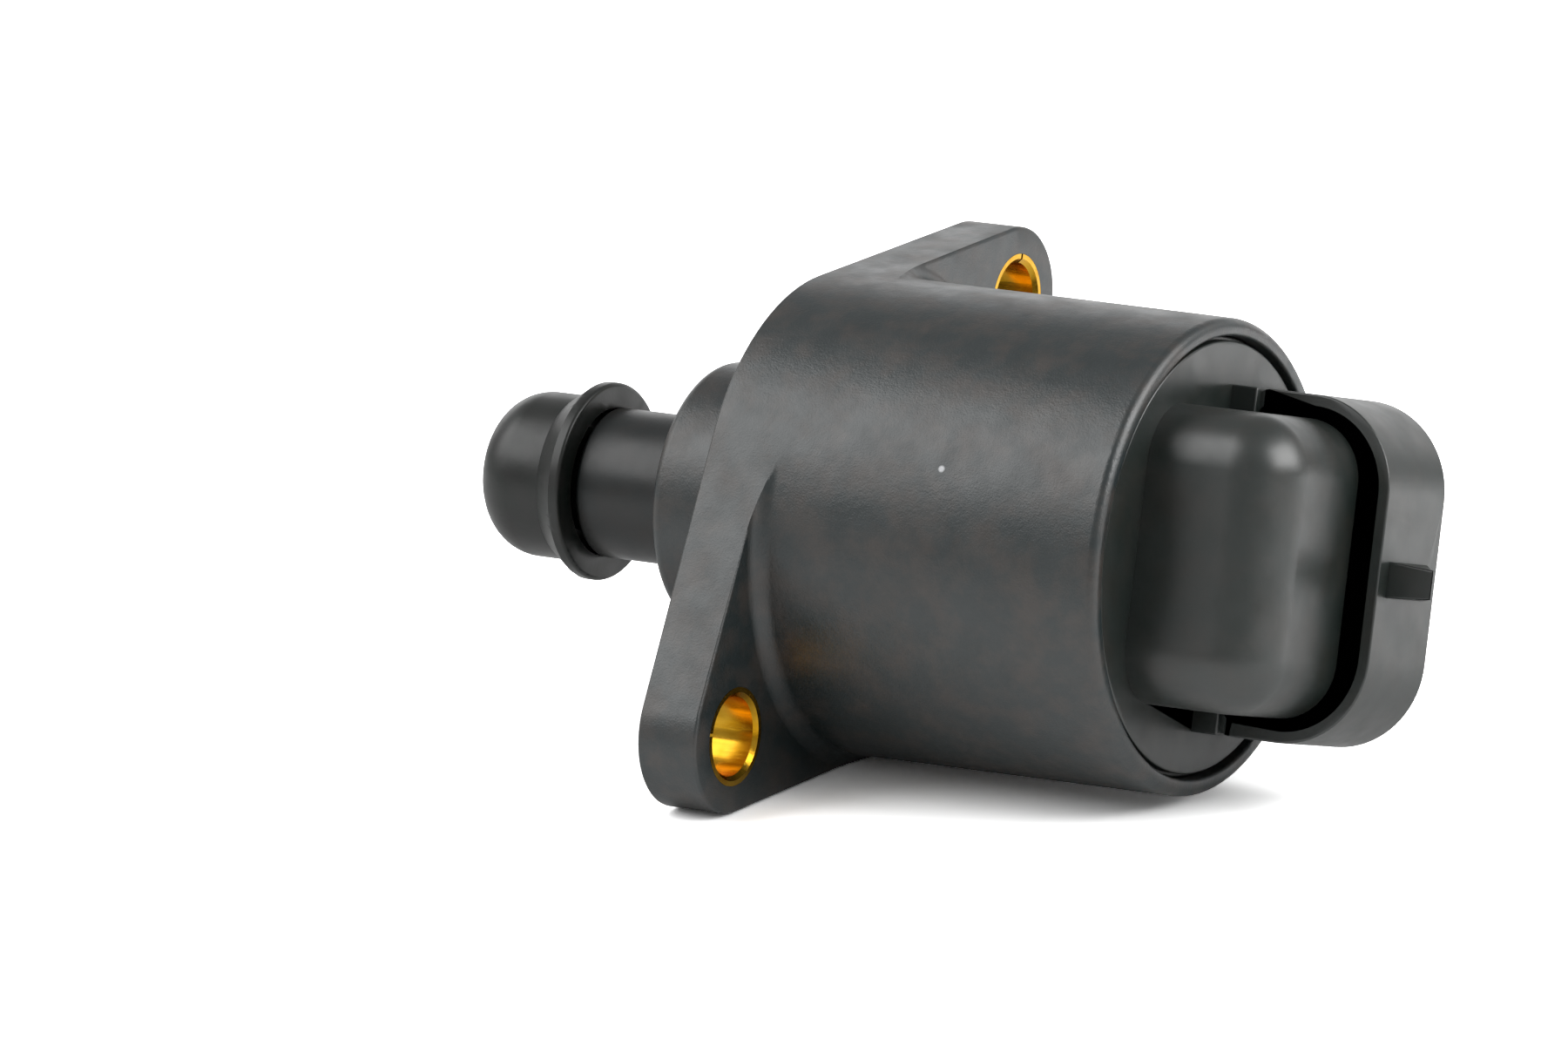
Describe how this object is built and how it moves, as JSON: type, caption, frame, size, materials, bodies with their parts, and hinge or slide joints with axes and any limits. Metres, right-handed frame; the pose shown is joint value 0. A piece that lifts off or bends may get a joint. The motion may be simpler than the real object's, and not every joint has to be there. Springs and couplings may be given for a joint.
{
  "type": "idle air control valve",
  "caption": "Idle air control valve: a stepper motor in a flanged black plastic body screws a round-nosed valve head in and out of its guide sleeve.",
  "frame": {"origin": "on the valve's axis, in the flange's mounting face", "axes": "+X along the axis towards the connector end, so the valve head is at -X; +Y the way the connector's mouth opens; +Z along the connector's long side; the two fixing holes lie on the line halfway between +Y and +Z"},
  "size_m": [0.0628, 0.0368, 0.0368],
  "materials": {
    "body_plastic": "satin moulded, faintly mottled",
    "cap_plastic": "satin moulded",
    "sleeve_plastic": "satin moulded",
    "head_plastic": "satin moulded",
    "bushing_brass": "bright rolled",
    "rod_steel": "turned",
    "bearing_steel": "ground",
    "stator_steel": "zinc plated sheet",
    "natural_nylon": "natural",
    "coil_wire": "enamelled wire, wound",
    "contact_metal": "tinned",
    "magnet_ferrite": "ground",
    "bush_bronze": "sintered",
    "seal_rubber": "matte"
  },
  "bodies": {
    "valve_body": {"housing": "body_plastic", "connector_cap": "cap_plastic", "guide_sleeve": "sleeve_plastic", "bushing_upper": "bushing_brass", "bushing_lower": "bushing_brass", "bearing_outer_race": "bearing_steel", "bearing_balls": "bearing_steel", "bearing_cage": "bushing_brass", "front_plate": "stator_steel", "stator_cup_front": "stator_steel", "stator_plate_front": "stator_steel", "stator_plate_rear": "stator_steel", "stator_cup_rear": "stator_steel", "bobbin_front": "natural_nylon", "bobbin_rear": "natural_nylon", "winding_front": "coil_wire", "winding_rear": "coil_wire", "coil_pins": "contact_metal", "disc_spring": "rod_steel", "rear_bush": "bush_bronze", "cap_seal": "seal_rubber", "terminal_1": "contact_metal", "terminal_2": "contact_metal", "terminal_3": "contact_metal", "terminal_4": "contact_metal"},
    "rotor": {"rotor_hub": "natural_nylon", "rotor_nut": "bushing_brass", "rotor_magnet": "magnet_ferrite", "bearing_inner_race": "bearing_steel", "thrust_washer": "natural_nylon"},
    "plunger": {"lead_screw": "rod_steel", "valve_head": "head_plastic"}
  },
  "joints": [
    {"name": "rotor_spin", "type": "hinge", "parent": "valve_body", "child": "rotor", "pos_m": [0, 0, 0], "axis": [1, 0, 0], "range_deg": [0, 2880]},
    {"name": "plunger_slide", "type": "slide", "parent": "valve_body", "child": "plunger", "axis": [-1, 0, 0], "range_m": [0, 0.008]}
  ],
  "couplings": [
    {"joint": "rotor_spin", "follows": "plunger_slide", "rad_per_m": 6283.2}
  ]
}
